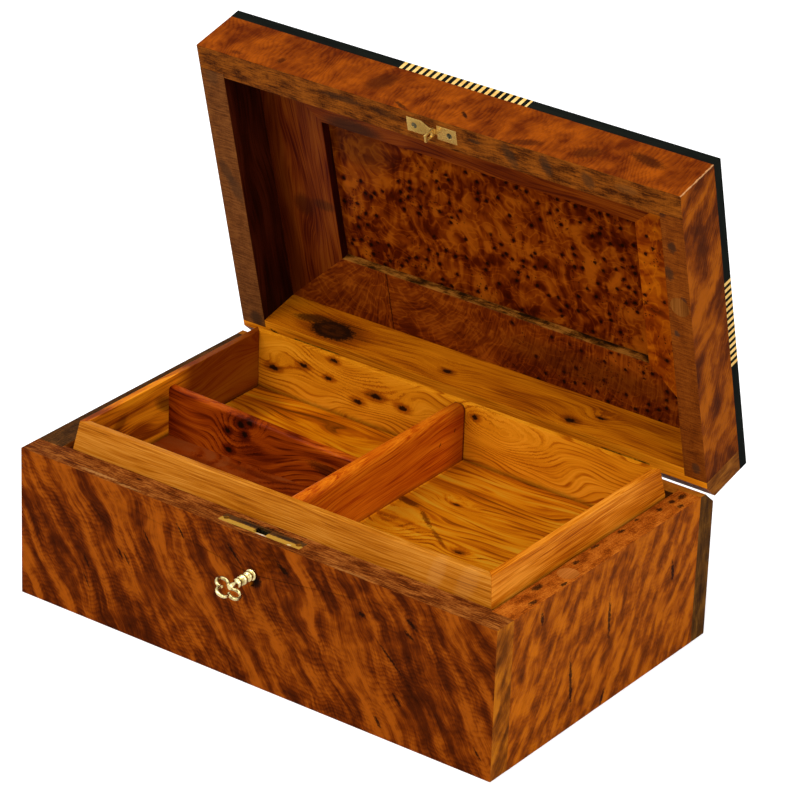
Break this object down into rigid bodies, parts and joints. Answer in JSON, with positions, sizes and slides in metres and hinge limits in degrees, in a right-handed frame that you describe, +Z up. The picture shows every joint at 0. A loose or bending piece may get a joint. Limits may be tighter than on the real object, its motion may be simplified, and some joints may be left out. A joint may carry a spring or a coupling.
{
  "type": "jewelry box",
  "caption": "Burl wood jewelry box with a hinged lid standing open, a loose divided tray, striped black edging round the lid and a brass box lock with its key",
  "frame": {"origin": "middle of the underside, on the plane that the box stands on", "axes": "+X to the right seen from the key's side, +Y to the hinges at the back, +Z up"},
  "size_m": [0.3, 0.2493, 0.2735],
  "materials": {
    "burl": "mottled red-brown burl under glossy lacquer, duller on the rims",
    "eye_burl": "burl with dark eyes under glossy lacquer",
    "frame_wood": "straight-grained red-brown, satin",
    "tray_wood": "golden straight grain with dark knots, satin",
    "divider_wood": "reddish orange grain, satin",
    "plain_wood": "plain brown, matt",
    "plug_wood": "pale round plug, matt",
    "edging_black": "near-black, satin lacquer",
    "stripe_yellow": "pale yellow bars, satin lacquer",
    "brass": "polished brass",
    "lock_steel": "dull steel"
  },
  "bodies": {
    "base": {"front_board": "burl", "back_board": "burl", "left_side": "burl", "right_side": "burl", "bottom_panel": "plain_wood", "tray_cleat_left": "plain_wood", "tray_cleat_right": "plain_wood", "rim_plug_base": "plug_wood", "lock_selvedge": "brass", "lock_case": "lock_steel", "lock_cover": "lock_steel", "lock_pin": "lock_steel", "lock_screws": "brass", "hinge_leaf_base_left": "brass", "hinge_leaf_base_right": "brass", "hinge_pin_left": "lock_steel", "hinge_pin_right": "lock_steel", "hinge_screws_base": "brass"},
    "tray": {"tray_front": "tray_wood", "tray_back": "tray_wood", "tray_left": "tray_wood", "tray_right": "tray_wood", "tray_floor": "tray_wood", "cross_divider": "divider_wood", "long_divider": "divider_wood"},
    "lid": {"lid_front_board": "burl", "lid_back_board": "burl", "lid_left_side": "burl", "lid_right_side": "burl", "lid_top_panel": "eye_burl", "lid_frame_front": "frame_wood", "lid_frame_back": "frame_wood", "lid_frame_left": "frame_wood", "lid_frame_right": "frame_wood", "edge_band_front": "edging_black", "edge_band_back": "edging_black", "edge_band_left": "edging_black", "edge_band_right": "edging_black", "stripes_front": "stripe_yellow", "stripes_back": "stripe_yellow", "stripes_left": "stripe_yellow", "stripes_right": "stripe_yellow", "strike_plate": "brass", "strike_screws": "lock_steel", "rim_plug_lid": "plug_wood", "hinge_leaf_lid_left": "brass", "hinge_leaf_lid_right": "brass", "hinge_screws_lid": "brass"},
    "key": {"key": "brass"},
    "bolt": {"lock_bolt": "brass"}
  },
  "joints": [
    {"name": "lid_hinge", "type": "hinge", "parent": "base", "child": "lid", "pos_m": [0, 0.0897, 0.08465], "axis": [-1, 0, 0], "range_deg": [-75.7, 16]},
    {"name": "tray_lift", "type": "slide", "parent": "base", "child": "tray", "axis": [0, 0, 1], "range_m": [0, 0.008]},
    {"name": "key_turn", "type": "hinge", "parent": "base", "child": "key", "pos_m": [0.0014, -0.096, 0.0635], "axis": [0, 1, 0], "range_deg": [0, 126]},
    {"name": "bolt_slide", "type": "slide", "parent": "base", "child": "bolt", "axis": [1, 0, 0], "range_m": [0, 0.006]}
  ],
  "couplings": [
    {"joint": "key_turn", "follows": "bolt_slide", "rad_per_m": 366.52}
  ]
}
